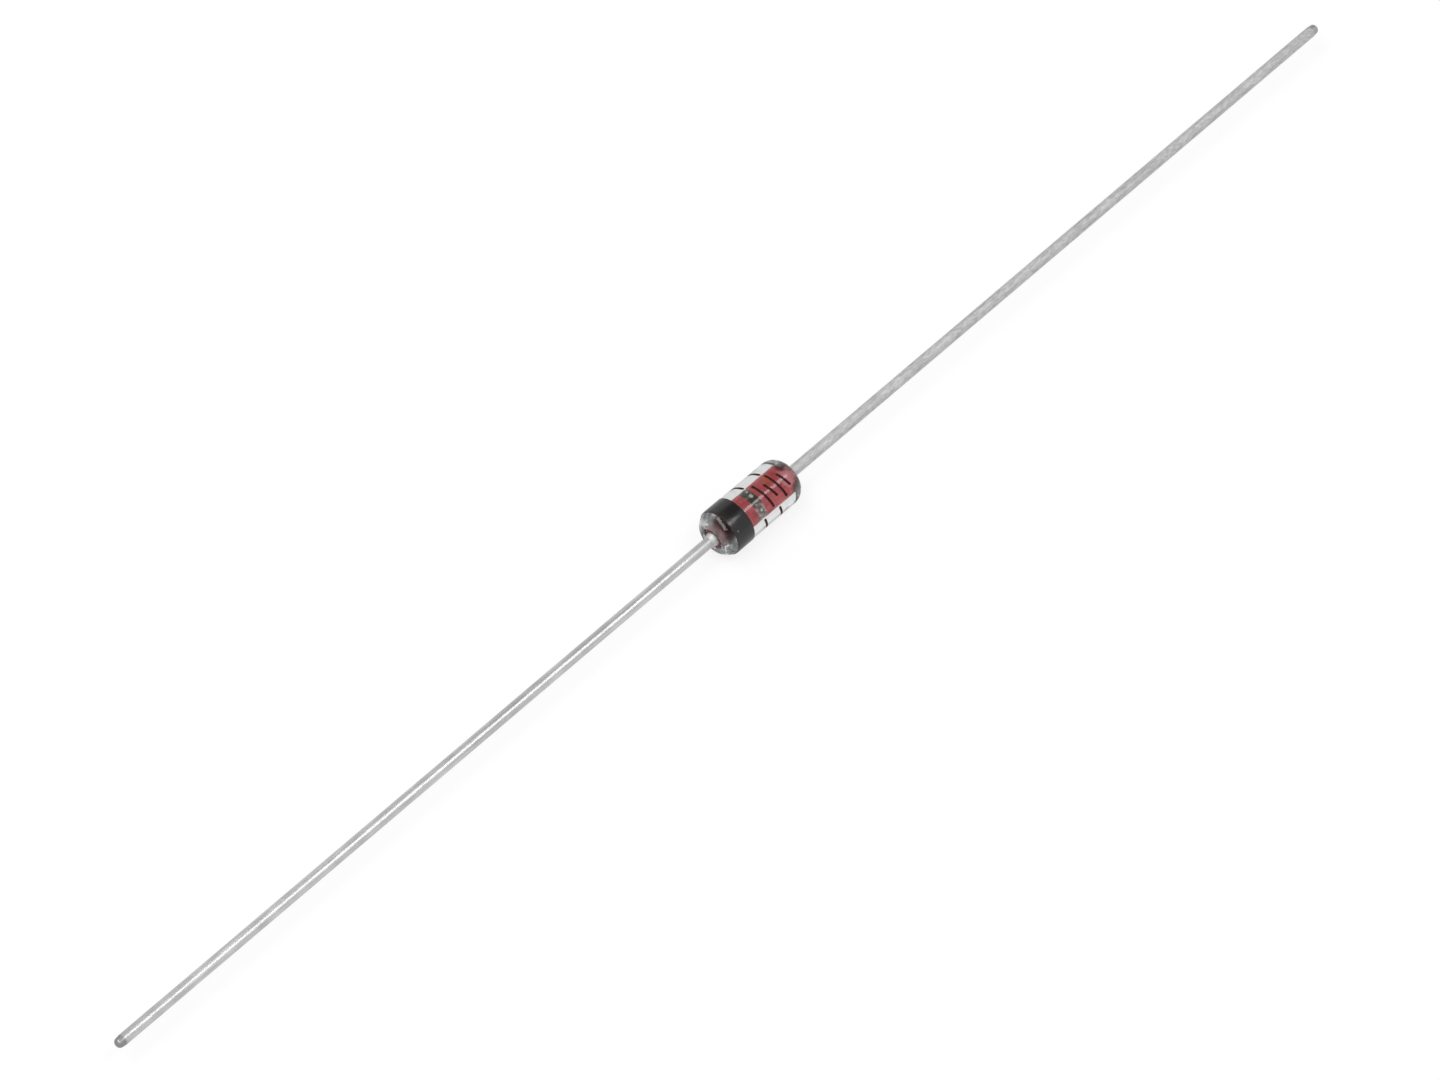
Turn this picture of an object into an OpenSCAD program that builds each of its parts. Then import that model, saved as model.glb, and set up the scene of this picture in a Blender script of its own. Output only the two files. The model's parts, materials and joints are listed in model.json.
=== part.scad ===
// Axial-lead glass zener diode of the double-slug kind.
// Two metal slugs are sealed into a glass sleeve and clamp the silicon die between their inner faces.
// A tinned wire lead is butt-welded to the outer face of each slug, and a painted band marks the cathode.
// The origin is the centre of the glass. The axis lies along X, with the cathode at -X. Sizes in millimetres.

/* [Glass envelope] */
// Length of the glass between its two mouths
glass_len = 3.84; // [3.2:0.02:5]
// Outside diameter of the glass
glass_d = 1.75; // [1.5:0.05:2.3]
// Radius of the fire-rounded dome at each end
dome_r = 0.53; // [0.3:0.01:0.65]
// How much wider the radius of each mouth is than the slug
mouth_flare = 0.08; // [0.01:0.01:0.12]

/* [Cathode band] */
// Width of the painted band along the axis
band_w = 0.69; // [0.3:0.01:0.9]
// Thickness of the paint
band_t = 0.02; // [0.01:0.005:0.04]
// Straight glass left clear between the dome and the band
band_inset = 0.01; // [0:0.01:0.2]

/* [Slugs] */
// Diameter of each slug, which the glass is fused to
slug_d = 0.72; // [0.64:0.01:0.9]
// Depth of each slug's outer face below the mouth of the glass
slug_recess = 0.12; // [0.04:0.02:0.3]
// Chamfer round both ends of each slug
slug_chamfer = 0.03; // [0.01:0.01:0.05]

/* [Die stack] */
// Clearance between the corners of the square die and the glass
die_clearance = 0.02; // [0.01:0.01:0.12]
// Thickness of the die
die_t = 0.24; // [0.1:0.01:0.3]
// Height of the plated bump between the die and the anode slug
bump_h = 0.06; // [0.04:0.01:0.14]
// Bare silicon left round the bump
bump_margin = 0.06; // [0.02:0.01:0.08]

/* [Leads] */
// Diameter of the lead wire
lead_d = 0.4; // [0.36:0.01:0.56]
// Length of each lead from the mouth of the glass to its tip
lead_len = 28; // [15:0.5:38]
// How far the bead of the butt weld stands out from the wire
weld_lip = 0.06; // [0.02:0.01:0.08]
// Length of the pinched taper at each tip
tip_len = 0.3; // [0.2:0.05:1]
// Loss of radius along the taper
tip_taper = 0.02; // [0.01:0.01:0.04]
// Radius of the rolled edge round the cut end
tip_round = 0.14; // [0.02:0.01:0.16]

/* [Hidden] */
$fn = 96;

// Directions of the two ends along X
CATHODE = -1;
ANODE = 1;

glass_r = glass_d / 2;
glass_end = glass_len / 2;
slug_r = slug_d / 2;
lead_r = lead_d / 2;

// The dome's arc starts tangent to the outside of the glass and ends at the lip of the mouth
mouth_r = slug_r + mouth_flare;
dome_x = glass_r - dome_r;
dome_reach = max(0, mouth_r - dome_x);
dome_z = glass_end - sqrt(dome_r * dome_r - dome_reach * dome_reach);

// The die spans the bore from corner to corner, and with its bump it fills the centred gap between the slugs
die_side = (slug_d - 2 * die_clearance) / sqrt(2);
die_gap = die_t + bump_h;
slug_in = die_gap / 2;
slug_out = glass_end - slug_recess;
slug_len = slug_out - slug_in;
die_x = CATHODE * slug_in;
bump_x = die_x + die_t;
bump_r = die_side / 2 - bump_margin;

// Each lead runs from the outer face of its slug
wire_len = slug_recess + lead_len;
tip_r = lead_r - tip_taper;

band_out = dome_z - band_inset;
band_in = band_out - band_w;

// Turns a form drawn along +Z so that it points out of the given end
module out_of(end) {
  rotate([0, end * 90, 0]) children();
}

// One dome's round section, which carries on from the straight wall
module dome_profile(end) {
  translate([dome_x, end * dome_z]) circle(dome_r);
}

// The crater round one lead widens from the slug's face through the lip of the mouth
module crater_profile(end) {
  polygon([
    [0, end * slug_out],
    [slug_r, end * slug_out],
    [slug_r + 2 * mouth_flare, end * (slug_out + 2 * slug_recess)],
    [0, end * (slug_out + 2 * slug_recess)]
  ]);
}

// Half section of the glass: a straight wall between two domes, bored for the slugs
module glass_profile() {
  difference() {
    union() {
      translate([0, -dome_z]) square([glass_r, 2 * dome_z]);
      translate([0, -glass_end]) square([dome_x, glass_len]);
      dome_profile(CATHODE);
      dome_profile(ANODE);
    }
    translate([-glass_d, -glass_len]) square([glass_d + slug_r, 2 * glass_len]);
    crater_profile(CATHODE);
    crater_profile(ANODE);
  }
}

module glass_envelope() {
  color([0.86, 0.9, 0.9, 0.35]) rotate([0, 90, 0]) rotate_extrude() glass_profile();
}

module cathode_band() {
  color([0.07, 0.07, 0.08]) out_of(CATHODE) rotate_extrude()
    translate([glass_r, band_in]) square([band_t, band_w]);
}

// A turned slug with a chamfer at both ends
module slug(end) {
  out_of(end) translate([0, 0, slug_in]) {
    cylinder(r1 = slug_r - slug_chamfer, r2 = slug_r, h = slug_chamfer);
    translate([0, 0, slug_chamfer]) cylinder(r = slug_r, h = slug_len - 2 * slug_chamfer);
    translate([0, 0, slug_len - slug_chamfer])
      cylinder(r1 = slug_r, r2 = slug_r - slug_chamfer, h = slug_chamfer);
  }
}

module cathode_slug() {
  color([0.72, 0.27, 0.28]) slug(CATHODE);
}

module anode_slug() {
  color([0.72, 0.27, 0.28]) slug(ANODE);
}

module zener_die() {
  color([0.25, 0.27, 0.28])
    translate([die_x, -die_side / 2, -die_side / 2]) cube([die_t, die_side, die_side]);
}

// The bump's shoulder is a quarter round, and its flat top presses on the anode slug
module anode_bump() {
  color([0.8, 0.8, 0.78]) translate([bump_x, 0, 0]) out_of(ANODE) rotate_extrude() {
    square([bump_r - bump_h, bump_h]);
    intersection() {
      translate([bump_r - bump_h, 0]) circle(bump_h);
      square([bump_r, bump_h]);
    }
  }
}

// Half section of a lead: the round weld bead on the slug, the straight wire and the cut tip
module lead_profile() {
  tip_z = wire_len - tip_len;
  square([lead_r, tip_z]);
  translate([lead_r, weld_lip]) circle(weld_lip);
  polygon([
    [0, tip_z],
    [lead_r, tip_z],
    [tip_r, wire_len - tip_round],
    [0, wire_len - tip_round]
  ]);
  square([tip_r - tip_round, wire_len]);
  intersection() {
    translate([tip_r - tip_round, wire_len - tip_round]) circle(tip_round);
    square([tip_r, wire_len]);
  }
}

module lead(end) {
  out_of(end) translate([0, 0, slug_out]) rotate_extrude() lead_profile();
}

module cathode_lead() {
  color([0.76, 0.77, 0.78]) lead(CATHODE);
}

module anode_lead() {
  color([0.76, 0.77, 0.78]) lead(ANODE);
}

glass_envelope();
cathode_band();
cathode_slug();
anode_slug();
zener_die();
anode_bump();
cathode_lead();
anode_lead();
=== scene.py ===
"""Dresses the glass zener diode: finely turned pieces, their finishes, a studio and the camera."""

import json
import math

import bmesh
import bpy
from mathutils import Matrix, Vector


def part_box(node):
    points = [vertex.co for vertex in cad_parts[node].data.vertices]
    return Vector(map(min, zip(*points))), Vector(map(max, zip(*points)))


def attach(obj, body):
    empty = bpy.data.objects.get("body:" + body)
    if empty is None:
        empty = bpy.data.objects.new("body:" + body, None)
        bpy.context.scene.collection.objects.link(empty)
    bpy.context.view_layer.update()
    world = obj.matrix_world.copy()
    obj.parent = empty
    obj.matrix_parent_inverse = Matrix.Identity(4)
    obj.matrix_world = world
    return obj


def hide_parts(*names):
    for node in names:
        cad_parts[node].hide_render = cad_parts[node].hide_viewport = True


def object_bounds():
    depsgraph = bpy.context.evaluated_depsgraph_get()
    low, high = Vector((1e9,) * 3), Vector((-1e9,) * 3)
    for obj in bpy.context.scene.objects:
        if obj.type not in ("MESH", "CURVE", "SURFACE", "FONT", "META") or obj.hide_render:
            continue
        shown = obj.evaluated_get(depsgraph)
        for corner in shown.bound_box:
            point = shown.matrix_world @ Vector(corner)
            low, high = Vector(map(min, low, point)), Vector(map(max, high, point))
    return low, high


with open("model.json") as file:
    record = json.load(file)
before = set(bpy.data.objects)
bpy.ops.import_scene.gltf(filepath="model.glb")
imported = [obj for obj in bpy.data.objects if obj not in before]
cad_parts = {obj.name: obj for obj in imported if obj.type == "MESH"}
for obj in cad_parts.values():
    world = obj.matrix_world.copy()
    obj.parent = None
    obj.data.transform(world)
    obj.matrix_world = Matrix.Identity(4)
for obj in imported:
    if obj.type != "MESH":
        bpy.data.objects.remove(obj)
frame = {"nodes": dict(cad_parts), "record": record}
cad_low, cad_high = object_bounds()

MM = 0.001

# Directions of the two ends along X
CATHODE = -1
ANODE = 1

# Faces round each turned piece, and steps along the round stretches
ROUND = 192
DOME_STEPS = 32
PAINT_STEPS = 12
BUMP_STEPS = 16
BEAD_STEPS = 10
RUN_OUT_STEPS = 12
TIP_STEPS = 16
EASE_STEPS = 6
DIE_EASE_STEPS = 2
INK_STEPS = 28

# Edges that turn by more degrees than this are shaded sharp
SHARP_ANGLE = 35
# The slugs' skin, the paint and the ink lie this deep in the glass
SEAL = 0.002 * MM
# Vertices closer than this lie on the same ring
SAME_RING = 0.0005 * MM


def ring_points(node):
    """(x, radius) of each vertex of a CAD node, measured about the axis of the leads."""
    return [(v.co.x, math.hypot(v.co.y, v.co.z)) for v in frame["nodes"][node].data.vertices]


# Glass: the dome at each end is tangent to the wall and passes through the lip of the mouth
glass_points = ring_points("glass_envelope")
glass_r = max(r for x, r in glass_points)
glass_end = max(x for x, r in glass_points)
mouth_r = max(r for x, r in glass_points if x > glass_end - SAME_RING)
wall_end = max(x for x, r in glass_points if r > glass_r - SAME_RING)
dome_depth = glass_r - mouth_r
dome_r = ((glass_end - wall_end) ** 2 + dome_depth ** 2) / (2 * dome_depth)

# Slugs, die and bump
slug_points = ring_points("anode_slug")
slug_r = max(r for x, r in slug_points)
slug_in = min(x for x, r in slug_points)
slug_out = max(x for x, r in slug_points)
slug_chamfer = slug_r - max(r for x, r in slug_points if x > slug_out - SAME_RING)
die_low, die_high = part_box("zener_die")
bump_low, bump_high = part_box("anode_bump")
bump_r = bump_high.z

# Band
band_low, band_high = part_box("cathode_band")
band_r = band_high.z

# Leads: the pin mount gives the straight wall of the wire
pin = next(m for m in frame["record"]["mounts"] if m["name"] == "anode_lead")
wire_r = pin["dims"]["r_mm"] * MM
wire_end = pin["pos_m"][0] + pin["dims"]["length_mm"] * MM / 2
lead_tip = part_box("anode_lead")[1].x
weld_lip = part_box("anode_lead")[1].z - wire_r


def arc(centre, radius, start, end, steps):
    """Points of a round stretch of an outline, from one angle in degrees to another."""
    angles = [math.radians(start + (end - start) * k / steps) for k in range(steps + 1)]
    return [(centre[0] + radius * math.cos(a), centre[1] + radius * math.sin(a)) for a in angles]


def eased(before, corner, after):
    """Rounds a corner of an outline with a curve from the point before it to the point after it."""
    points = []
    for k in range(EASE_STEPS + 1):
        t = k / EASE_STEPS
        weights = ((1 - t) ** 2, 2 * t * (1 - t), t ** 2)
        points.append(tuple(
            sum(w * p[axis] for w, p in zip(weights, (before, corner, after))) for axis in (0, 1)
        ))
    return points


def facing(end, outline):
    """An outline drawn for the +X end, turned to the given end."""
    return [(end * x, r) for x, r in outline]


def finish_mesh(name, bm):
    """Turns a bmesh into a smooth-shaded object of that name."""
    bmesh.ops.recalc_face_normals(bm, faces=bm.faces)
    mesh = bpy.data.meshes.new(name)
    bm.to_mesh(mesh)
    bm.free()
    mesh.shade_smooth()
    mesh.set_sharp_from_angle(angle=math.radians(SHARP_ANGLE))
    piece = bpy.data.objects.new(name, mesh)
    bpy.context.scene.collection.objects.link(piece)
    return piece


def lathe(name, outline, shift=None):
    """Revolves (x, radius) points about X.

    Points on the axis close the ends, and any other outline makes a ring. shift gives a small move
    along X for an angle and a point, for edges that aren't quite true.
    """
    bm = bmesh.new()
    turns = [2 * math.pi * k / ROUND for k in range(ROUND)]
    rows = []
    for x, r in outline:
        if r < SAME_RING:
            rows.append([bm.verts.new((x, 0, 0))])
            continue
        row = []
        for a in turns:
            move = shift(a, x) if shift else 0
            row.append(bm.verts.new((x + move, r * math.cos(a), r * math.sin(a))))
        rows.append(row)
    pairs = list(zip(rows, rows[1:]))
    if len(rows[0]) > 1:
        pairs.append((rows[-1], rows[0]))
    for row, following in pairs:
        for k in range(ROUND):
            beside = (k + 1) % ROUND
            corners = [row[k % len(row)], row[beside % len(row)]]
            corners += [following[beside % len(following)], following[k % len(following)]]
            # Next to a point on the axis two corners are the same, which leaves a triangle
            bm.faces.new(list(dict.fromkeys(corners)))
    return finish_mesh(name, bm)


def tube(bm, rows):
    """Closed skin over rows that all have the same number of vertices."""
    for row, following in zip(rows, rows[1:]):
        for k in range(len(row)):
            beside = (k + 1) % len(row)
            bm.faces.new([row[k], row[beside], following[beside], following[k]])
    bm.faces.new(rows[0])
    bm.faces.new(rows[-1])


def put(tree, socket, value):
    """Links a socket to another one, or sets it to a constant."""
    if isinstance(value, bpy.types.NodeSocket):
        tree.links.new(value, socket)
    else:
        socket.default_value = value


def make(tree, kind, values=None, **settings):
    """Adds a shader node with these properties, and these values on its sockets."""
    made = tree.nodes.new(kind)
    for key, setting in settings.items():
        setattr(made, key, setting)
    for key, value in (values or {}).items():
        put(tree, made.inputs[key], value)
    return made


def new_material(name, values):
    """A material with one principled shader and these constant values on its sockets."""
    material = bpy.data.materials.new(name)
    material.use_nodes = True
    shader = material.node_tree.nodes["Principled BSDF"]
    for key, value in values.items():
        shader.inputs[key].default_value = value
    return material, material.node_tree, shader


def feed(tree, shader, sources):
    """Links the named sockets of a shader."""
    for key, source in sources.items():
        tree.links.new(source, shader.inputs[key])


def calculate(tree, operation, *values):
    """One step of arithmetic on sockets and numbers."""
    made = make(tree, "ShaderNodeMath", dict(enumerate(values)), operation=operation)
    return made.outputs["Value"]


def object_place(tree):
    """Place in the frame of the part, in metres."""
    return make(tree, "ShaderNodeTexCoord").outputs["Object"]


def coordinate(tree, axis):
    """Place along one axis of the part, in millimetres. X runs from the cathode to the anode."""
    apart = make(tree, "ShaderNodeSeparateXYZ", {"Vector": object_place(tree)})
    return calculate(tree, "MULTIPLY", apart.outputs[axis], 1 / MM)


def distance_along(tree):
    """Distance from the middle of the body along the axis, in millimetres."""
    return calculate(tree, "ABSOLUTE", coordinate(tree, "X"))


# Across the axis, and square to the direction of the photograph's camera
SIDEWAYS = (0, 0.879, 0.478)


def side_distance(tree):
    """Distance from the plane through the axis and the photograph's camera, in millimetres."""
    across = [n / MM for n in SIDEWAYS]
    side = make(tree, "ShaderNodeVectorMath", {
        0: object_place(tree), 1: across
    }, operation="DOT_PRODUCT")
    return calculate(tree, "ABSOLUTE", side.outputs["Value"])


def noise(tree, per_mm, detail=4.0, roughness=0.55, offset=(0, 0, 0)):
    """Noise with this many features per millimetre along X, Y and Z."""
    scaled = make(tree, "ShaderNodeMapping", {
        "Vector": object_place(tree), "Scale": [n / MM for n in per_mm], "Location": offset
    })
    texture = make(tree, "ShaderNodeTexNoise", {
        "Vector": scaled.outputs["Vector"], "Scale": 1.0, "Detail": detail, "Roughness": roughness
    })
    return texture.outputs["Fac"]


def rgba(colour):
    """Four channels from three, or from a grey given as one number. A socket stays as it is."""
    if isinstance(colour, bpy.types.NodeSocket):
        return colour
    if isinstance(colour, (int, float)):
        return (colour, colour, colour, 1)
    return (*colour, 1)


def ramp(tree, fac, stops):
    """Colours, or greys given as one number, at positions along a 0 to 1 value."""
    made = make(tree, "ShaderNodeValToRGB", {"Fac": fac})
    elements = made.color_ramp.elements
    # A new ramp has two stops. One is kept, and becomes the first of these.
    elements.remove(elements[1])
    elements[0].position = 0
    for k, (position, colour) in enumerate(stops):
        element = elements.new(position) if k else elements[0]
        element.position = position
        element.color = rgba(colour)
    return made.outputs["Color"]


def mixed(tree, fac, first, second):
    """One colour over another."""
    made = make(tree, "ShaderNodeMix", data_type="RGBA")
    inputs = {socket.identifier: socket for socket in made.inputs}
    put(tree, inputs["Factor_Float"], fac)
    put(tree, inputs["A_Color"], rgba(first))
    put(tree, inputs["B_Color"], rgba(second))
    return next(socket for socket in made.outputs if socket.identifier == "Result_Color")


def relief(tree, height, depth):
    """Bump of this depth in metres."""
    made = make(tree, "ShaderNodeBump", {"Height": height, "Distance": depth, "Strength": 1.0})
    return made.outputs["Normal"]


def step_between(tree, value, start, full):
    """0 before start, 1 past full, in the units of the value."""
    return make(tree, "ShaderNodeMapRange", {
        "Value": value, "From Min": start, "From Max": full
    }, interpolation_type="SMOOTHSTEP").outputs["Result"]


def step_past(tree, value, mark, edge):
    """step_between for millimetres, with both places counted from a mark that is in metres."""
    return step_between(tree, value, mark / MM + edge[0], mark / MM + edge[1])


# Features per millimetre in the ragged edge of a spot
RAGGED = (7, 7, 7)


def spot(tree, centre, full, gone):
    """1 within a distance of a point, fading to 0 at a greater one, in millimetres."""
    scaled = make(tree, "ShaderNodeVectorMath", {
        0: object_place(tree), "Scale": 1 / MM
    }, operation="SCALE")
    reach = make(tree, "ShaderNodeVectorMath", {
        0: scaled.outputs["Vector"], 1: centre
    }, operation="DISTANCE")
    ragged = calculate(tree, "MULTIPLY_ADD", noise(tree, RAGGED), gone, reach.outputs["Value"])
    # The noise adds about half of gone to the distance
    return step_between(tree, ragged, gone + gone / 2, full + gone / 2)


# Materials. Colours are linear. A ramp gives colours, or shares from 0 to 1, at values of its noise.
# An edge gives where something starts and is full, in millimetres. A patch gives its middle and the
# distances at which it is full and gone, in millimetres.

# Glass: index, where the fired end starts past the straight wall, the milky flanks start to the side,
# and the whiter lip and a thin veil start before the mouth
GLASS_IOR = 1.52
FIRED_EDGE = (-0.05, 0.10)
FLANK_EDGE = (0.30, 0.62)
LIP_EDGE = (-0.16, -0.06)
VEIL_EDGE = (-0.20, -0.02)
FLANK_CLEARNESS = ((0.34, 0.90), (0.50, 0.76), (0.66, 0.52))
LIP_CLEARNESS = ((0.34, 0.80), (0.64, 0.45))
VEIL_CLEARNESS = ((0.36, 0.90), (0.60, 0.80))
GLASS_TINT = ((0.3, (0.93, 0.97, 0.955)), (0.7, (0.965, 0.985, 0.98)))
GLASS_ROUGHNESS = ((0.35, 0.0), (0.8, 0.03))
GLASS_RIPPLE = 0.006 * MM


def glass_material():
    """Clear in the straight wall, and a little milky in patches where the flame closed the ends."""
    material, tree, shader = new_material("clear_glass", {
        "IOR": GLASS_IOR, "Specular IOR Level": 0.5
    })
    along = distance_along(tree)
    patches = noise(tree, (4, 4, 4), detail=1.0, offset=(0.5, 1.2, 7.7))
    fired = step_past(tree, along, wall_end, FIRED_EDGE)
    flank = step_between(tree, side_distance(tree), *FLANK_EDGE)
    at_lip = step_past(tree, along, glass_end, LIP_EDGE)
    milky = mixed(
        tree, at_lip, ramp(tree, patches, FLANK_CLEARNESS), ramp(tree, patches, LIP_CLEARNESS)
    )
    to_lip = step_past(tree, along, glass_end, VEIL_EDGE)
    veil = mixed(tree, to_lip, 1, ramp(tree, patches, VEIL_CLEARNESS))
    waves = noise(tree, (0.9, 1.6, 1.6), detail=2.0)
    ripples = mixed(tree, fired, waves, noise(tree, (4, 4, 4), detail=2.0))
    feed(tree, shader, {
        "Transmission Weight": mixed(tree, calculate(tree, "MULTIPLY", fired, flank), veil, milky),
        "Base Color": ramp(tree, waves, GLASS_TINT),
        "Roughness": ramp(tree, noise(tree, (6, 6, 6)), GLASS_ROUGHNESS),
        "Normal": relief(tree, ripples, GLASS_RIPPLE),
    })
    return material


# Film on the wall of the gap: olive, and rosy on the side towards -Y, with two painted glints
GAP_PAINTED_GLINTS = (
    ((0.05, 0.04, 0.358), 0.05, 0.08),
    ((0.025, -0.338, 0.124), 0.03, 0.07),
)
ROSY_EDGE = (-0.10, -0.24)
OLIVE_FILM = (
    (0.40, (0.040, 0.032, 0.014)), (0.57, (0.15, 0.125, 0.06)), (0.74, (0.95, 0.94, 0.92))
)
ROSY_FILM = (
    (0.34, (0.10, 0.035, 0.035)), (0.50, (0.34, 0.22, 0.20)), (0.66, (0.95, 0.92, 0.92))
)
PAINTED_GLINT_COLOUR = (0.98, 0.96, 0.92)
FILM_CLEARNESS = ((0.58, 0.0), (0.72, 1.0))
FILM_ROUGHNESS = ((0.4, 0.4), (0.6, 0.05))


def gap_film_material():
    """The wall of the gap round the die: a dark film with clear patches, standing for the die and the
    shade in the gap, so partly painted shade, with two painted glints.
    """
    material, tree, shader = new_material("gap_film_shade_and_glints", {"IOR": GLASS_IOR})
    film = noise(tree, (5, 6, 6), offset=(1.3, 4.0, 0.6))
    # The two glints are opaque, near-white spots: painted highlights
    painted_glints = calculate(tree, "MAXIMUM", *(spot(tree, *painted_glint) for painted_glint in GAP_PAINTED_GLINTS))
    rosy_side = step_between(tree, coordinate(tree, "Y"), *ROSY_EDGE)
    film_colour = mixed(tree, rosy_side, ramp(tree, film, OLIVE_FILM), ramp(tree, film, ROSY_FILM))
    feed(tree, shader, {
        "Base Color": mixed(tree, painted_glints, film_colour, PAINTED_GLINT_COLOUR),
        "Transmission Weight": mixed(tree, painted_glints, ramp(tree, film, FILM_CLEARNESS), 0),
        "Roughness": ramp(tree, film, FILM_ROUGHNESS),
    })
    return material


# Band: the duller part and the thin skirt are counted from the ring's outer edge. One small place is a
# lighter grey.
SATIN_EDGE = (0.45, 0)
SKIRT_EDGE = (0.16, -0.10)
PAINT_LIGHT_SPOT = ((-1.365, -0.705, 0.552), 0.01, 0.05)
PAINT_BLACK = ((0.3, (0.001, 0.0015, 0.001)), (0.7, (0.003, 0.0035, 0.003)))
SKIRT_COLOUR = (0.012, 0.0035, 0.0035)
LIGHT_SPOT_COLOUR = (0.17, 0.16, 0.16)
PAINT_GLOSS = 0.05
PAINT_SATIN = ((0.3, 0.20), (0.7, 0.30))
PAINT_RELIEF = 0.0015 * MM


def band_material():
    """Black paint, glossy at its inner edge, and so thin on its skirt that a little red shows."""
    material, tree, shader = new_material("band_paint", {"IOR": 1.5, "Specular IOR Level": 0.8})
    along = coordinate(tree, "X")
    cloud = noise(tree, (2.5, 2.5, 2.5))
    grain = noise(tree, (40, 40, 40), detail=2.0)
    outward = step_past(tree, along, band_low.x, SATIN_EDGE)
    skirt = step_past(tree, along, band_low.x, SKIRT_EDGE)
    paint = mixed(tree, skirt, ramp(tree, cloud, PAINT_BLACK), SKIRT_COLOUR)
    feed(tree, shader, {
        # One small spot of the paint is lighter grey
        "Base Color": mixed(tree, spot(tree, *PAINT_LIGHT_SPOT), paint, LIGHT_SPOT_COLOUR),
        "Roughness": mixed(tree, outward, PAINT_GLOSS, ramp(tree, cloud, PAINT_SATIN)),
        "Normal": relief(tree, grain, PAINT_RELIEF),
    })
    return material


INK_COLOUR = ((0.3, (0.030, 0.005, 0.006)), (0.75, (0.075, 0.014, 0.017)))
INK_ROUGHNESS = ((0.3, 0.38), (0.7, 0.55))
INK_RELIEF = 0.001 * MM


def ink_material():
    """Dark reddish ink that covers unevenly."""
    material, tree, shader = new_material("marking_ink", {"IOR": 1.45, "Specular IOR Level": 0.2})
    cloud = noise(tree, (7, 7, 7))
    grain = noise(tree, (30, 30, 30), detail=2.0)
    feed(tree, shader, {
        "Base Color": ramp(tree, cloud, INK_COLOUR),
        "Roughness": ramp(tree, cloud, INK_ROUGHNESS),
        "Normal": relief(tree, grain, INK_RELIEF),
    })
    return material


# Slugs: the dark outer ends, scorch at both and painted shade of the band and crater at the cathode,
# where the cathode's pales again, how far these edges wander, and an orange patch and a painted
# highlight on the anode slug
CATHODE_SCORCH_AND_SHADE = (-0.85, -1.20)
CATHODE_TIP = (-1.42, -1.58)
ANODE_SCORCH = (1.38, 1.62)
EDGE_WANDER = 0.3
ORANGE_PATCH = ((0.95, 0.16, 0.33), 0.08, 0.22)
PAINTED_HIGHLIGHT_PATCH = ((1.48, -0.19, 0.30), 0.15, 0.32)
OXIDE = (
    (0.34, (0.48, 0.031, 0.040)), (0.46, (0.83, 0.096, 0.113)),
    (0.60, (0.95, 0.162, 0.186)), (0.72, (0.87, 0.18, 0.10))
)
DRAWN_OXIDE = ((0.38, (0.52, 0.041, 0.052)), (0.5, (0.93, 0.15, 0.168)))
DRAWN_SHARE = 0.3
ORANGE_COLOUR = (0.90, 0.17, 0.06)
SCORCH_AND_SHADE_COLOUR = (0.085, 0.010, 0.011)
TIP_COLOUR = (0.27, 0.045, 0.05)
PAINTED_HIGHLIGHT_COLOUR = (1.0, 0.33, 0.37)
OXIDE_ROUGHNESS = ((0.3, 0.32), (0.7, 0.5))
OXIDE_RELIEF = 0.002 * MM


def slug_material():
    """Red oxide in patches and streaks, scorched dark at the outer ends, with painted shade of the band
    and crater at the cathode end and a painted highlight on the anode slug.
    """
    material, tree, shader = new_material("slug_oxide", {"Specular IOR Level": 0.35})
    cloud = noise(tree, (1.8, 2.6, 2.6), offset=(3.1, 0.4, 1.7))
    streaks = noise(tree, (0.8, 12, 12))
    uneven = make(tree, "ShaderNodeMapRange", {
        "Value": noise(tree, (3, 5, 5)), "To Min": -EDGE_WANDER / 2, "To Max": EDGE_WANDER / 2
    })
    along = calculate(tree, "ADD", coordinate(tree, "X"), uneven.outputs["Result"])
    at_cathode = step_between(tree, along, *CATHODE_SCORCH_AND_SHADE)
    at_anode = step_between(tree, along, *ANODE_SCORCH)
    at_tip = step_between(tree, along, *CATHODE_TIP)
    colour = mixed(tree, DRAWN_SHARE, ramp(tree, cloud, OXIDE), ramp(tree, streaks, DRAWN_OXIDE))
    colour = mixed(tree, spot(tree, *ORANGE_PATCH), colour, ORANGE_COLOUR)
    # Darkens both outer ends: scorch, and at the cathode also painted shade of the band and the crater
    colour = mixed(tree, calculate(tree, "MAXIMUM", at_cathode, at_anode), colour, SCORCH_AND_SHADE_COLOUR)
    colour = mixed(tree, at_tip, colour, TIP_COLOUR)
    feed(tree, shader, {
        # The pale pink patch near the anode end is a painted highlight
        "Base Color": mixed(tree, spot(tree, *PAINTED_HIGHLIGHT_PATCH), colour, PAINTED_HIGHLIGHT_COLOUR),
        "Roughness": ramp(tree, streaks, OXIDE_ROUGHNESS),
        "Normal": relief(tree, streaks, OXIDE_RELIEF),
    })
    return material


SILICON = ((0.35, (0.055, 0.055, 0.025)), (0.65, (0.17, 0.16, 0.09)))
SILICON_ROUGHNESS = ((0.3, 0.18), (0.7, 0.42))
SAW_RELIEF = 0.002 * MM


def die_material():
    """Dark silicon with the fine lines of the saw."""
    material, tree, shader = new_material("silicon", {"Metallic": 0.25})
    saw = noise(tree, (60, 6, 6))
    feed(tree, shader, {
        "Base Color": ramp(tree, saw, SILICON),
        "Roughness": ramp(tree, saw, SILICON_ROUGHNESS),
        "Normal": relief(tree, saw, SAW_RELIEF),
    })
    return material


SILVER = ((0.3, (0.62, 0.60, 0.52)), (0.7, (0.80, 0.79, 0.74)))
SILVER_ROUGHNESS = ((0.3, 0.22), (0.7, 0.4))
SILVER_RELIEF = 0.003 * MM


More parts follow.
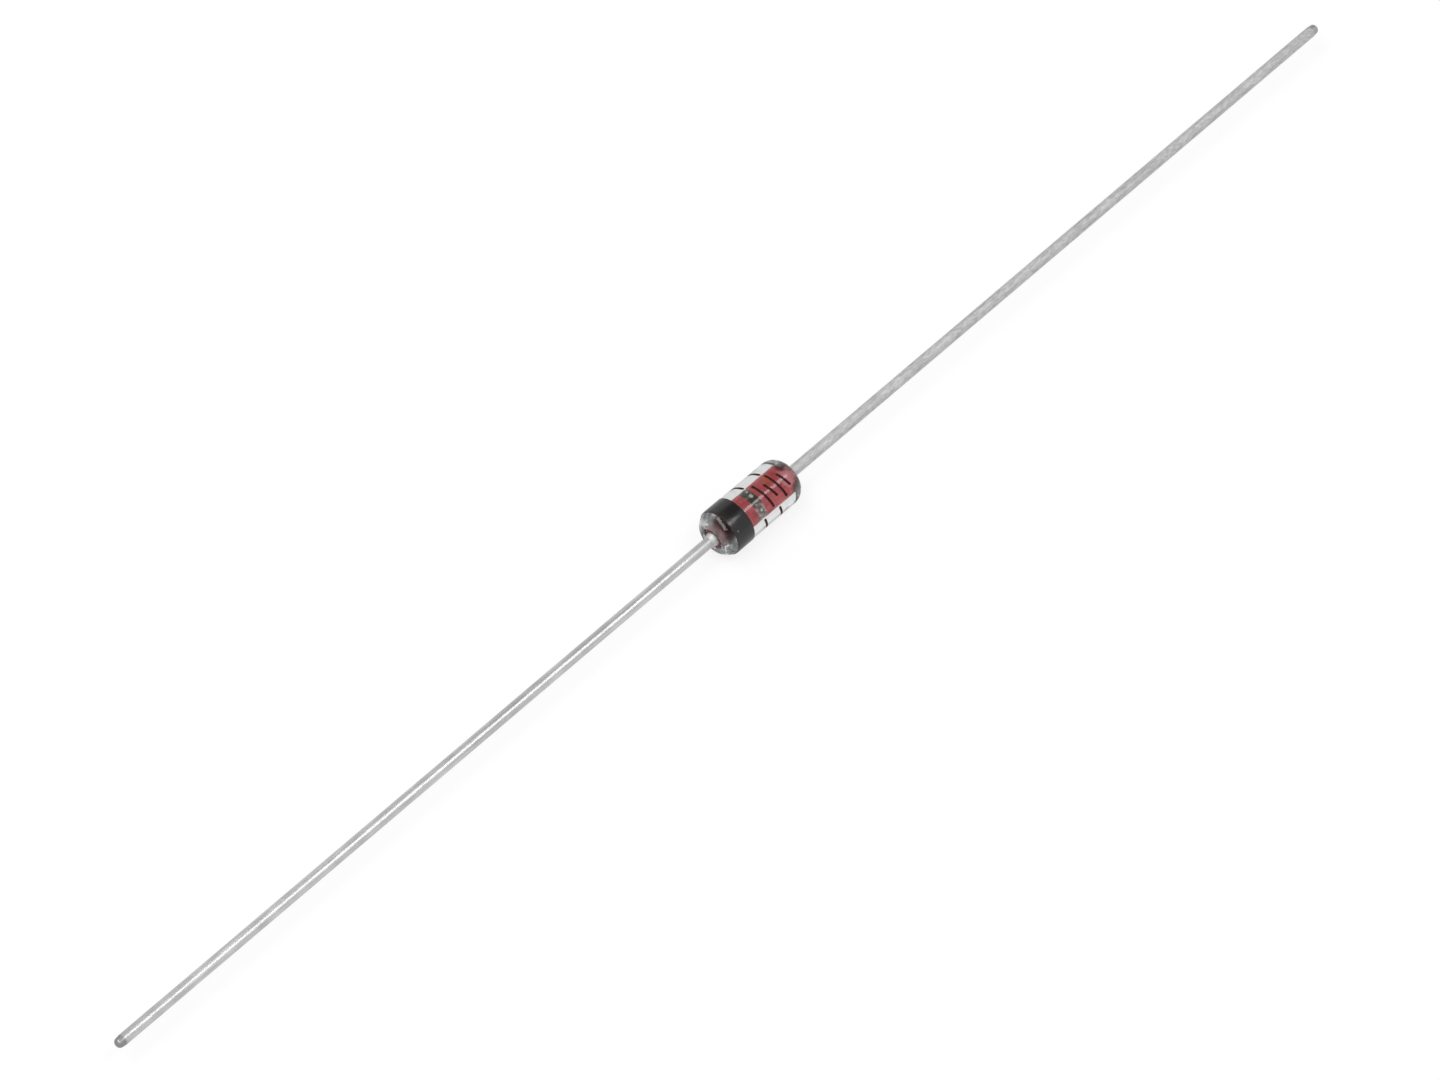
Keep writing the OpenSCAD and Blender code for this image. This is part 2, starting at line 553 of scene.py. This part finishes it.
def silver_material():
    """Plated silver with a fine grain."""
    material, tree, shader = new_material("bump_silver", {"Metallic": 1.0})
    grain = noise(tree, (22, 22, 22))
    feed(tree, shader, {
        "Base Color": ramp(tree, grain, SILVER),
        "Roughness": ramp(tree, grain, SILVER_ROUGHNESS),
        "Normal": relief(tree, grain, SILVER_RELIEF),
    })
    return material


# Leads: where the tin gets duller, along X; where the cut end starts, from the end of the straight wire;
# and where the weld bead starts, from the slug's outer face
DULLING = (-6, 5)
CUT_EDGE = (-0.05, 0.05)
BEAD_EDGE = (0.34, 0.20)
DRAWN_TIN = (
    (0.3, (0.55, 0.555, 0.56)), (0.5, (0.79, 0.79, 0.795)), (0.7, (0.94, 0.94, 0.945))
)
CLOUDED_TIN = ((0.35, (0.54, 0.545, 0.55)), (0.65, (0.94, 0.94, 0.945)))
CLOUD_SHARE = 0.45
SPECKS = (
    (0.36, (0.50, 0.505, 0.51)), (0.5, (0.64, 0.64, 0.645)), (0.64, (0.78, 0.78, 0.785))
)
SPECK_SHARE = 0.55
# The cut ends are bare metal. The cathode's is darker than the anode's, which is painted shade.
SHADED_CATHODE_CUT = ((0.3, (0.32, 0.32, 0.32)), (0.7, (0.48, 0.475, 0.47)))
ANODE_CUT = ((0.3, (0.46, 0.46, 0.46)), (0.7, (0.62, 0.615, 0.61)))
CATHODE_SATIN = ((0.3, 0.36), (0.7, 0.44))
ANODE_SATIN = ((0.3, 0.64), (0.7, 0.78))
BEAD_ROUGHNESS = 0.62
CUT_ROUGHNESS = 0.45
GRAIN_SHARE = 0.3
WIRE_RELIEF = 0.0015 * MM


def wire_material():
    """Tin drawn along the wire, dull and speckled on the anode lead, with matt beads and cut tips."""
    material, tree, shader = new_material("tinned_wire", {"Metallic": 1.0})
    streaks = noise(tree, (0.5, 18, 18), roughness=0.65)
    cloud = noise(tree, (1.1, 1.1, 1.1), offset=(0.3, 2.2, 5.1))
    grain = noise(tree, (26, 26, 26), detail=3.0)
    specks = noise(tree, (5, 14, 14), detail=2.0)
    along = distance_along(tree)
    to_anode = step_between(tree, coordinate(tree, "X"), *DULLING)
    at_tip = step_past(tree, along, wire_end, CUT_EDGE)
    at_bead = step_past(tree, along, slug_out, BEAD_EDGE)
    skin = mixed(tree, CLOUD_SHARE, ramp(tree, streaks, DRAWN_TIN), ramp(tree, cloud, CLOUDED_TIN))
    speckled = calculate(tree, "MULTIPLY", to_anode, SPECK_SHARE)
    skin = mixed(tree, speckled, skin, ramp(tree, specks, SPECKS))
    cut = mixed(tree, to_anode, ramp(tree, grain, SHADED_CATHODE_CUT), ramp(tree, grain, ANODE_CUT))
    satin = mixed(
        tree, to_anode, ramp(tree, streaks, CATHODE_SATIN), ramp(tree, streaks, ANODE_SATIN)
    )
    satin = mixed(tree, at_bead, satin, BEAD_ROUGHNESS)
    feed(tree, shader, {
        "Base Color": mixed(tree, at_tip, skin, cut),
        "Roughness": mixed(tree, at_tip, satin, CUT_ROUGHNESS),
        "Normal": relief(tree, mixed(tree, GRAIN_SHARE, streaks, grain), WIRE_RELIEF),
    })
    return material


# Glass: rounding of the lip, and how many chamfers of each slug the film of the gap reaches over
LIP_EASE = 0.035 * MM
FILM_REACH = 1.5


def build_glass():
    """The sleeve: straight wall, fire-rounded domes, an eased lip and a crater down to each slug."""
    centre = (wall_end, glass_r - dome_r)
    lip_angle = math.degrees(math.asin((mouth_r - centre[1]) / dome_r))
    ease_angle = math.degrees(LIP_EASE / dome_r)
    dome = arc(centre, dome_r, 90, lip_angle + ease_angle, DOME_STEPS)
    lip = (glass_end, mouth_r)
    crater = Vector((slug_out - glass_end, slug_r - mouth_r)).normalized() * LIP_EASE
    inside = (lip[0] + crater.x, lip[1] + crater.y)
    bore = slug_r - SEAL
    gap_end = slug_in + FILM_REACH * slug_chamfer
    half = dome + eased(dome[-1], lip, inside)[1:]
    half += [(slug_out, slug_r), (slug_out, bore), (gap_end, bore)]
    piece = lathe("sealed_glass", half + facing(CATHODE, reversed(half)))
    for face in piece.data.polygons:
        places = [piece.data.vertices[v].co.x for v in face.vertices]
        on_gap = all(abs(x) < gap_end + SAME_RING for x in places)
        face.material_index = 1 if on_gap else 0
    return piece


# Paint: rounding of the inner edge, and how far the edges wander round the glass. Each wave has its
# size, its number round the glass and its phase. The outer edge follows by a share, the other way.
PAINT_EASE = 0.012 * MM
PAINT_WANDER = 0.010 * MM
PAINT_WAVES = ((1, 2, 0.7), (0.6, 5, 2.1), (0.3, 11, 0))
OUTER_SHARE = -0.6
# The paint stops short of the ring's inner edge. Its skirt runs over the dome by some degrees, and its
# outside ends a little before its inside.
PAINT_SHORT = 0.025 * MM
PAINT_OVER_DOME = 14
PAINT_FEATHER = 1


def build_band():
    """The painted ring, with soft edges that wander a little, and its skirt over the dome."""
    def wander(angle, x):
        swing = sum(size * math.sin(number * angle + phase) for size, number, phase in PAINT_WAVES)
        share = 1 if x > band_low.x else OUTER_SHARE
        return PAINT_WANDER * swing * share / 2

    inner_edge = -band_high.x + PAINT_SHORT + PAINT_WANDER
    dome = (wall_end, glass_r - dome_r)
    skirt_end = 90 - PAINT_OVER_DOME
    thickness = band_r - glass_r
    outline = [(inner_edge, glass_r - SEAL)]
    outline += eased((inner_edge, glass_r), (inner_edge, band_r), (inner_edge + PAINT_EASE, band_r))
    outline += arc(dome, dome_r + thickness, 90, skirt_end + PAINT_FEATHER, PAINT_STEPS)
    outline += arc(dome, dome_r - SEAL, skirt_end, 90, PAINT_STEPS)
    return lathe("painted_band", facing(CATHODE, outline), wander)


def build_slug(name, end):
    """A slug with its chamfers eased."""
    ease = slug_chamfer / 2
    face_r = slug_r - slug_chamfer - ease
    corner_r = slug_r - slug_chamfer / 2
    run = slug_chamfer + ease
    outline = [(slug_in, 0)]
    outline += eased((slug_in, face_r), (slug_in, corner_r), (slug_in + run, slug_r))
    outline += eased((slug_out - run, slug_r), (slug_out, corner_r), (slug_out, face_r))
    outline += [(slug_out, 0)]
    return lathe(name, facing(end, outline))


# Die: the step where the saw cut met the break, as a share of the thickness, its depth, and the rounding
# of the edges
SAW_STEP = 0.35
SAW_KERF = 0.008 * MM
DIE_EASE = 0.004 * MM


def square_row(bm, x, half):
    """Vertices round a square across the axis, with eased corners."""
    row = []
    corner = (half - DIE_EASE, half - DIE_EASE)
    for quarter in range(4):
        turn = Matrix.Rotation(math.pi / 2 * quarter, 2)
        for y, z in arc(corner, DIE_EASE, 0, 90, DIE_EASE_STEPS):
            place = turn @ Vector((y, z))
            row.append(bm.verts.new((x, place.x, place.y)))
    return row


def build_die():
    """The sawn die: a shallow step where the saw cut met the break, and eased edges."""
    step_x = die_low.x + SAW_STEP * (die_high.x - die_low.x)
    wide = die_high.z
    narrow = wide - SAW_KERF
    outline = arc((die_low.x + DIE_EASE, wide - DIE_EASE), DIE_EASE, 180, 90, DIE_EASE_STEPS)
    outline += arc((step_x - DIE_EASE, wide - DIE_EASE), DIE_EASE, 90, 0, DIE_EASE_STEPS)
    outline += [(step_x, narrow)]
    outline += arc((die_high.x - DIE_EASE, narrow - DIE_EASE), DIE_EASE, 90, 0, DIE_EASE_STEPS)
    bm = bmesh.new()
    tube(bm, [square_row(bm, x, half) for x, half in outline])
    return finish_mesh("sawn_die", bm)


def build_bump():
    """The plated bump with its round shoulder."""
    height = bump_high.x - bump_low.x
    shoulder = arc((bump_low.x, bump_r - height), height, 90, 0, BUMP_STEPS)
    return lathe("plated_bump", [(bump_low.x, 0)] + shoulder + [(bump_high.x, 0)])


# Leads: taper and rolled edge of the tip, as on the solids, and the run-out of the weld bead
TIP_TAPER = 0.02 * MM
TIP_ROUND = 0.14 * MM
WELD_RUN_OUT = 0.22 * MM


def build_lead(name, end):
    """Weld bead on the slug that runs out into the straight wire, and the rolled, cut tip."""
    tip_r = wire_r - TIP_TAPER
    bead_top = slug_out + weld_lip
    outline = [(slug_out, 0)]
    outline += arc((bead_top, wire_r), weld_lip, 180, 90, BEAD_STEPS)
    for k in range(1, RUN_OUT_STEPS + 1):
        along = k / RUN_OUT_STEPS
        height = weld_lip * (1 + math.cos(math.pi * along)) / 2
        outline.append((bead_top + along * WELD_RUN_OUT, wire_r + height))
    outline += [(wire_end, wire_r)]
    outline += arc((lead_tip - TIP_ROUND, tip_r - TIP_ROUND), TIP_ROUND, 90, 0, TIP_STEPS)
    outline += [(lead_tip, 0)]
    return lathe(name, facing(end, outline))


# The mark on the glass is plain bars. Each has its x, its degrees round from the top towards -Y, its
# length and its slant, in millimetres. At its very ends a bar keeps a share of its width.
INK_WIDTH = 0.10 * MM
INK_HEIGHT = 0.004 * MM
INK_BLUNT = 0.1
MARKS = (
    (0.26, 28, 1.10, 0.16),
    (0.58, 28, 0.62, 0.16),
    (0.90, 28, 1.10, 0.16),
    (1.22, 28, 0.62, 0.16),
    (-0.12, -35, 0.60, 0.10),
    (0.70, -35, 0.60, 0.10),
    (-0.12, 93, 0.60, 0.12),
    (0.62, 93, 0.60, 0.12),
)


def ink_bar(bm, x, turn, length, slant):
    """One closed, round-ended bar of ink that lies along the curve of the glass."""
    low = glass_r - SEAL
    high = glass_r + INK_HEIGHT
    rows = []
    for k in range(INK_STEPS + 1):
        along = -math.cos(math.pi * k / INK_STEPS) / 2
        to_end = (0.5 - abs(along)) * length / (INK_WIDTH / 2)
        rounding = math.sqrt(max(1 - max(1 - to_end, 0) ** 2, INK_BLUNT ** 2))
        half = INK_WIDTH / 2 * rounding
        angle = math.pi / 2 + math.radians(turn) + along * length / glass_r
        middle = x + along * slant
        rows.append([
            bm.verts.new((middle + side, r * math.cos(angle), r * math.sin(angle)))
            for side, r in ((-half, low), (half, low), (half, high), (-half, high))
        ])
    tube(bm, rows)


def build_marks():
    """All the bars as one thin layer of ink."""
    bm = bmesh.new()
    for x, turn, length, slant in MARKS:
        ink_bar(bm, x * MM, turn, length * MM, slant * MM)
    return finish_mesh("marking_bars", bm)


def dress(piece, material, node=None):
    """Gives a piece its finish and puts it on the part, in place of a CAD node if one is named."""
    piece.data.materials.append(material)
    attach(piece, "root")
    if node:
        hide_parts(node)


oxide = slug_material()
tin = wire_material()
glass = build_glass()
dress(glass, glass_material(), "glass_envelope")
glass.data.materials.append(gap_film_material())
dress(build_band(), band_material(), "cathode_band")
dress(build_marks(), ink_material())
dress(build_slug("cathode_slug_turned", CATHODE), oxide, "cathode_slug")
dress(build_slug("anode_slug_turned", ANODE), oxide, "anode_slug")
dress(build_die(), die_material(), "zener_die")
dress(build_bump(), silver_material(), "anode_bump")
dress(build_lead("cathode_lead_wire", CATHODE), tin, "cathode_lead")
dress(build_lead("anode_lead_wire", ANODE), tin, "anode_lead")

# Camera: where the photograph was taken from, with the middle of the body at its pixel in the picture
IMAGE_W = 1440
IMAGE_H = 1080
BODY_PIXEL = (750.2, 507.3)
VIEW_AZIMUTH = math.radians(-47.29)
VIEW_ELEVATION = math.radians(51.62)
VIEW_DISTANCE = 239.1 * MM
PIXELS_PER_MM = 29.54
SENSOR_MM = 36.0
NEAR_CLIP = 10 * MM

towards_camera = Vector((
    math.sin(VIEW_AZIMUTH) * math.cos(VIEW_ELEVATION),
    -math.cos(VIEW_AZIMUTH) * math.cos(VIEW_ELEVATION),
    math.sin(VIEW_ELEVATION)
))
view_right = Vector((0, 0, 1)).cross(towards_camera).normalized()
view_up = towards_camera.cross(view_right)


def build_camera():
    """The camera, moved aside so that the middle of the body falls on its pixel."""
    camera = bpy.data.cameras.new("camera")
    camera.sensor_width = SENSOR_MM
    camera.lens = SENSOR_MM * PIXELS_PER_MM * VIEW_DISTANCE / MM / IMAGE_W
    camera.clip_start = NEAR_CLIP
    stand = bpy.data.objects.new("camera", camera)
    across = (IMAGE_W / 2 - BODY_PIXEL[0]) / PIXELS_PER_MM * MM
    upward = (BODY_PIXEL[1] - IMAGE_H / 2) / PIXELS_PER_MM * MM
    stand.location = towards_camera * VIEW_DISTANCE + view_right * across + view_up * upward
    stand.rotation_euler = towards_camera.to_track_quat("Z", "Y").to_euler()
    bpy.context.scene.collection.objects.link(stand)
    bpy.context.scene.camera = stand


# Studio: a white floor that keeps a faint shadow, a pale surround with two darker zones, a strip lamp
# and a soft cross lamp. The floor lies just under the part, and its glow is given for each kind of ray.
FLOOR_RADIUS = 1.5
FLOOR_SIDES = 96
FLOOR_DROP = 0.002 * MM
FLOOR_GREY = 0.20
FLOOR_GLOW = {"Is Camera Ray": 0.81, "Is Transmission Ray": 0.68, "Is Glossy Ray": 0.48}
SURROUND = 0.6
# The darker zones, round the place that the photograph was taken from and beside the strip lamp. Each
# has its direction, its level, and the cosines of where it starts and is full.
DARK_ZONES = (
    (towards_camera, 0.25, (0.80, 0.95)),
    (Vector((0.43, 0.275, 0.86)).normalized(), 0.25, (0.85, 0.96)),
)
# Each lamp stands in a direction at a distance. Its long side lies nearly along lie, and its size is its
# length and width.
LAMPS = {
    "strip_lamp": {
        "direction": (0.275, -0.39, 0.878), "distance": 300 * MM, "lie": (1, 0, 0),
        "size": (142 * MM, 60 * MM), "radiance": 4.5
    },
    "cross_lamp": {
        "direction": (-0.43, 0, 0.905), "distance": 400 * MM, "lie": (0.48, 0.98, 0.17),
        "size": (560 * MM, 150 * MM), "radiance": 3.5
    },
}


def build_floor():
    """White to the eye, a little greyer through the glass and in the metal, with a soft shadow."""
    bm = bmesh.new()
    bmesh.ops.create_circle(bm, cap_ends=True, segments=FLOOR_SIDES, radius=FLOOR_RADIUS)
    floor = finish_mesh("studio_floor", bm)
    floor.location.z = cad_low.z - FLOOR_DROP
    material = bpy.data.materials.new("white_floor")
    material.use_nodes = True
    tree = material.node_tree
    tree.nodes.clear()
    path = make(tree, "ShaderNodeLightPath")
    glow = 0
    for ray, strength in FLOOR_GLOW.items():
        seen = calculate(tree, "MULTIPLY", path.outputs[ray], strength)
        glow = calculate(tree, "MAXIMUM", seen, glow)
    light = make(tree, "ShaderNodeEmission", {"Strength": glow})
    paper = make(tree, "ShaderNodeBsdfDiffuse", {"Color": rgba(FLOOR_GREY)})
    both = make(tree, "ShaderNodeAddShader", {
        0: light.outputs["Emission"], 1: paper.outputs["BSDF"]
    })
    make(tree, "ShaderNodeOutputMaterial", {"Surface": both.outputs["Shader"]})
    floor.data.materials.append(material)


def build_world():
    """White to the eye, and for everything else a pale surround with darker zones."""
    world = bpy.data.worlds.new("studio")
    bpy.context.scene.world = world
    world.use_nodes = True
    tree = world.node_tree
    tree.nodes.clear()
    path = make(tree, "ShaderNodeLightPath")
    sky = make(tree, "ShaderNodeTexCoord").outputs["Generated"]
    pale = SURROUND
    for direction, level, (start, full) in DARK_ZONES:
        nearness = make(tree, "ShaderNodeVectorMath", {
            0: sky, 1: direction
        }, operation="DOT_PRODUCT")
        shade = make(tree, "ShaderNodeMapRange", {
            "Value": nearness.outputs["Value"], "From Min": start, "From Max": full,
            "To Min": SURROUND, "To Max": level
        })
        pale = calculate(tree, "MINIMUM", shade.outputs["Result"], pale)
    strength = make(tree, "ShaderNodeMapRange", {
        "Value": path.outputs["Is Camera Ray"], "To Min": pale, "To Max": 1.0
    })
    surround = make(tree, "ShaderNodeBackground", {
        "Color": rgba(1), "Strength": strength.outputs["Result"]
    })
    make(tree, "ShaderNodeOutputWorld", {"Surface": surround.outputs["Background"]})


def build_lamp(name, direction, distance, lie, size, radiance):
    """An area lamp that faces the body and isn't seen by the camera or through the glass."""
    lamp = bpy.data.lights.new(name, "AREA")
    lamp.shape = "RECTANGLE"
    lamp.size, lamp.size_y = size
    lamp.energy = radiance * math.pi * lamp.size * lamp.size_y
    back = Vector(direction).normalized()
    side = (Vector(lie) - back * back.dot(Vector(lie))).normalized()
    turn = Matrix((side, back.cross(side), back)).transposed()
    stand = bpy.data.objects.new(name, lamp)
    stand.matrix_world = Matrix.Translation(back * distance) @ turn.to_4x4()
    stand.visible_camera = False
    stand.visible_transmission = False
    bpy.context.scene.collection.objects.link(stand)


build_camera()
build_floor()
build_world()
for lamp_name, setting in LAMPS.items():
    build_lamp(lamp_name, **setting)
bpy.context.scene.view_settings.view_transform = "Standard"
